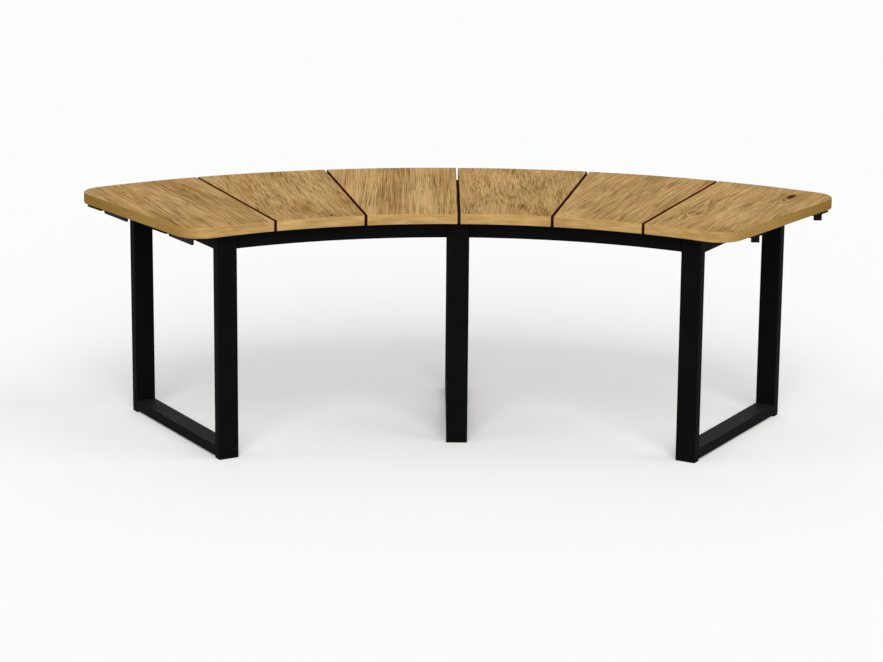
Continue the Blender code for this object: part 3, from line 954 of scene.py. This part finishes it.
for row, radius in (("front_rail", seat_inner_radius + overhang),
                    ("rear_rail", seat_outer_radius - overhang - tube_depth)):
    for side, start, end in (("left", -leg_angle, 0.0), ("right", 0.0, leg_angle)):
        sector(
            f"{row}_{side}_tube",
            f"{row}_{side}",
            "black_powder_coat",
            tube_corner_radius,
            Inner_Radius=radius,
            Depth=tube_depth,
            Left_Plane=start,
            Right_Plane=end,
            Left_Inset=butt_inset,
            Right_Inset=butt_inset,
            Bottom=frame_top - top_tube_height,
            Thickness=top_tube_height,
            Round_Ends=False,
            Material=coat,
        )

leg_frame = leg_frame_tree()
for side, turn in (("left", -leg_angle), ("centre", 0.0), ("right", leg_angle)):
    sizes = {
        "Front Radius": seat_inner_radius + overhang,
        "Rear Radius": seat_outer_radius - overhang,
        "Base": frame_base,
        "Top": frame_top,
        "Tube Depth": tube_depth,
        "Top Tube Height": top_tube_height,
        "Tube Width": tube_width,
        "Turn": turn,
        "Centre": ring_centre,
        "Material": coat,
    }
    leg = shaped(f"{side}_leg_frame", leg_frame, sizes, rounded(tube_corner_radius))
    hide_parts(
        f"{side}_front_upright",
        f"{side}_rear_upright",
        f"{side}_bottom_bar",
        f"{side}_top_bar",
    )
    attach(leg, "root")

stations = {
    "left_end": (-end_plane, slab_half_gap, -leg_angle, butt_inset),
    "left": (-leg_angle, butt_inset, 0.0, butt_inset),
    "right": (0.0, butt_inset, leg_angle, butt_inset),
    "right_end": (leg_angle, butt_inset, end_plane, slab_half_gap),
}
for row, radius in (("inner_strip", inner_strip_radius), ("outer_strip", outer_strip_radius)):
    for station, (start, start_inset, end, end_inset) in stations.items():
        sector(
            f"{row}_{station}_bar",
            f"{row}_{station}",
            "black_powder_coat",
            strip_edge_radius,
            Inner_Radius=radius - strip_width / 2,
            Depth=strip_width,
            Left_Plane=start,
            Right_Plane=end,
            Left_Inset=start_inset,
            Right_Inset=end_inset,
            Bottom=frame_top - strip_thickness,
            Thickness=strip_thickness,
            Round_Ends=False,
            Material=coat,
        )

screw_row = screw_tree()
for row, radius in (("inner", inner_strip_radius), ("outer", outer_strip_radius)):
    screws = shaped(
        f"{row}_strip_screws",
        screw_row,
        {
            "Ring Radius": radius,
            "Height": frame_top - strip_thickness,
            "Slabs": slab_count,
            "Pitch": slab_pitch,
            "Spread": screw_turn,
            "Head Radius": screw_head_radius,
            "Head Height": screw_head_height,
            "Socket Radius": screw_socket_radius,
            "Centre": ring_centre,
            "Material": hardware,
        },
    )
    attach(screws, "root")

# The foot pads and the link hardware stay the CAD nodes, in the finishes made here
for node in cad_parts.values():
    for material_slot in node.material_slots:
        kind = material_slot.material.name.split(".")[0]
        if kind in finish_of:
            material_slot.material = finish_of[kind]


# Studio

floor_reach = 40.0
paper_white = (0.97, 0.97, 0.97)
pure_white = (1.0, 1.0, 1.0)
paper_glow = 0.15
warm_white = (1.0, 0.995, 0.978)
cool_white = (0.978, 0.990, 1.0)
world_level = 0.245

# Distant lamps: where the light goes, softness in degrees, strength and colour
lamps = {
    "front_lamp": ((-0.05, 1.42, -1.00), 46.0, 2.27, warm_white),
    "right_lamp": ((-1.00, 0.32, -1.00), 42.0, 0.70, cool_white),
    "left_lamp": ((1.00, 0.32, -1.00), 42.0, 0.42, cool_white),
    "back_lamp": ((0.00, -0.90, -1.00), 70.0, 0.46, cool_white),
}

# Camera that stands in for the photo's, with no shift of the lens; angles in radians
sensor_width = 36.0
focal_length = 125.32
camera_place = (-0.06765, -5.72631, 1.68479)
camera_turn = -0.00662
camera_dip = 0.25582
camera_roll = 0.00895


def seen_directly(tree):
    """One for rays from the camera, also by way of gloss or glass, and nought for light."""
    rays = add(tree, "ShaderNodeLightPath").outputs
    return maths(tree, "MAXIMUM", rays["Is Camera Ray"],
                 maths(tree, "MAXIMUM", rays["Is Glossy Ray"], rays["Is Transmission Ray"]))


def make_floor():
    """Pale paper that keeps the shadow and can't be seen from below."""
    mesh = bpy.data.meshes.new("studio_floor")
    shape = bmesh.new()
    bmesh.ops.create_grid(shape, x_segments=1, y_segments=1, size=floor_reach)
    shape.to_mesh(mesh)
    shape.free()
    floor = bpy.data.objects.new("studio_floor", mesh)
    bpy.context.scene.collection.objects.link(floor)
    paper, tree, shader = new_finish("studio_paper", Specular_IOR_Level=0.0, Roughness=1.0)
    shader.inputs["Base Color"].default_value = (*paper_white, 1.0)
    white = add(tree, "ShaderNodeEmission", {"Color": (*pure_white, 1.0), "Strength": 1.0})
    glow = maths(tree, "MULTIPLY", seen_directly(tree), paper_glow)
    paled = add(tree, "ShaderNodeMixShader", {0: glow, 1: shader.outputs[0], 2: white.outputs[0]})
    back = add(tree, "ShaderNodeNewGeometry").outputs["Backfacing"]
    clear = add(tree, "ShaderNodeBsdfTransparent")
    below = add(tree, "ShaderNodeMixShader", {0: back, 1: paled.outputs[0], 2: clear.outputs[0]})
    tree.links.new(below.outputs[0], tree.nodes["Material Output"].inputs["Surface"])
    mesh.materials.append(paper)


def make_sun(name, towards, softness, energy, colour):
    """Distant lamp that shines along a direction."""
    lamp = bpy.data.lights.new(name, "SUN")
    lamp.energy = energy
    lamp.color = colour
    lamp.angle = softness
    light = bpy.data.objects.new(name, lamp)
    light.rotation_euler = Vector(towards).to_track_quat("-Z", "Y").to_euler()
    bpy.context.scene.collection.objects.link(light)


def make_world(level, colour):
    """Even light of one colour, seen as plain white."""
    world = bpy.data.worlds.new("studio")
    bpy.context.scene.world = world
    world.use_nodes = True
    tree = world.node_tree
    backdrop = tree.nodes["Background"]
    seen = seen_directly(tree)
    strength = add(tree, "ShaderNodeMapRange", {"Value": seen, "To Min": level, "To Max": 1.0})
    tree.links.new(strength.outputs[0], backdrop.inputs["Strength"])
    tree.links.new(blend(tree, seen, colour, pure_white), backdrop.inputs["Color"])


def make_camera():
    """Camera with a long lens, dipped towards the bench."""
    lens = bpy.data.cameras.new("camera")
    lens.sensor_width = sensor_width
    lens.lens = focal_length
    camera = bpy.data.objects.new("camera", lens)
    bpy.context.scene.collection.objects.link(camera)
    turn = Matrix.Rotation(camera_turn, 4, "Z")
    tilt = Matrix.Rotation(quarter_turn - camera_dip, 4, "X")
    roll = Matrix.Rotation(camera_roll, 4, "Z")
    camera.matrix_world = Matrix.Translation(camera_place) @ turn @ tilt @ roll
    bpy.context.scene.camera = camera


make_floor()
for lamp_name, (towards, softness, energy, colour) in lamps.items():
    make_sun(lamp_name, towards, radians(softness), energy, colour)
make_world(world_level, cool_white)
make_camera()
bpy.context.scene.view_settings.view_transform = "Standard"

bpy.context.view_layer.update()
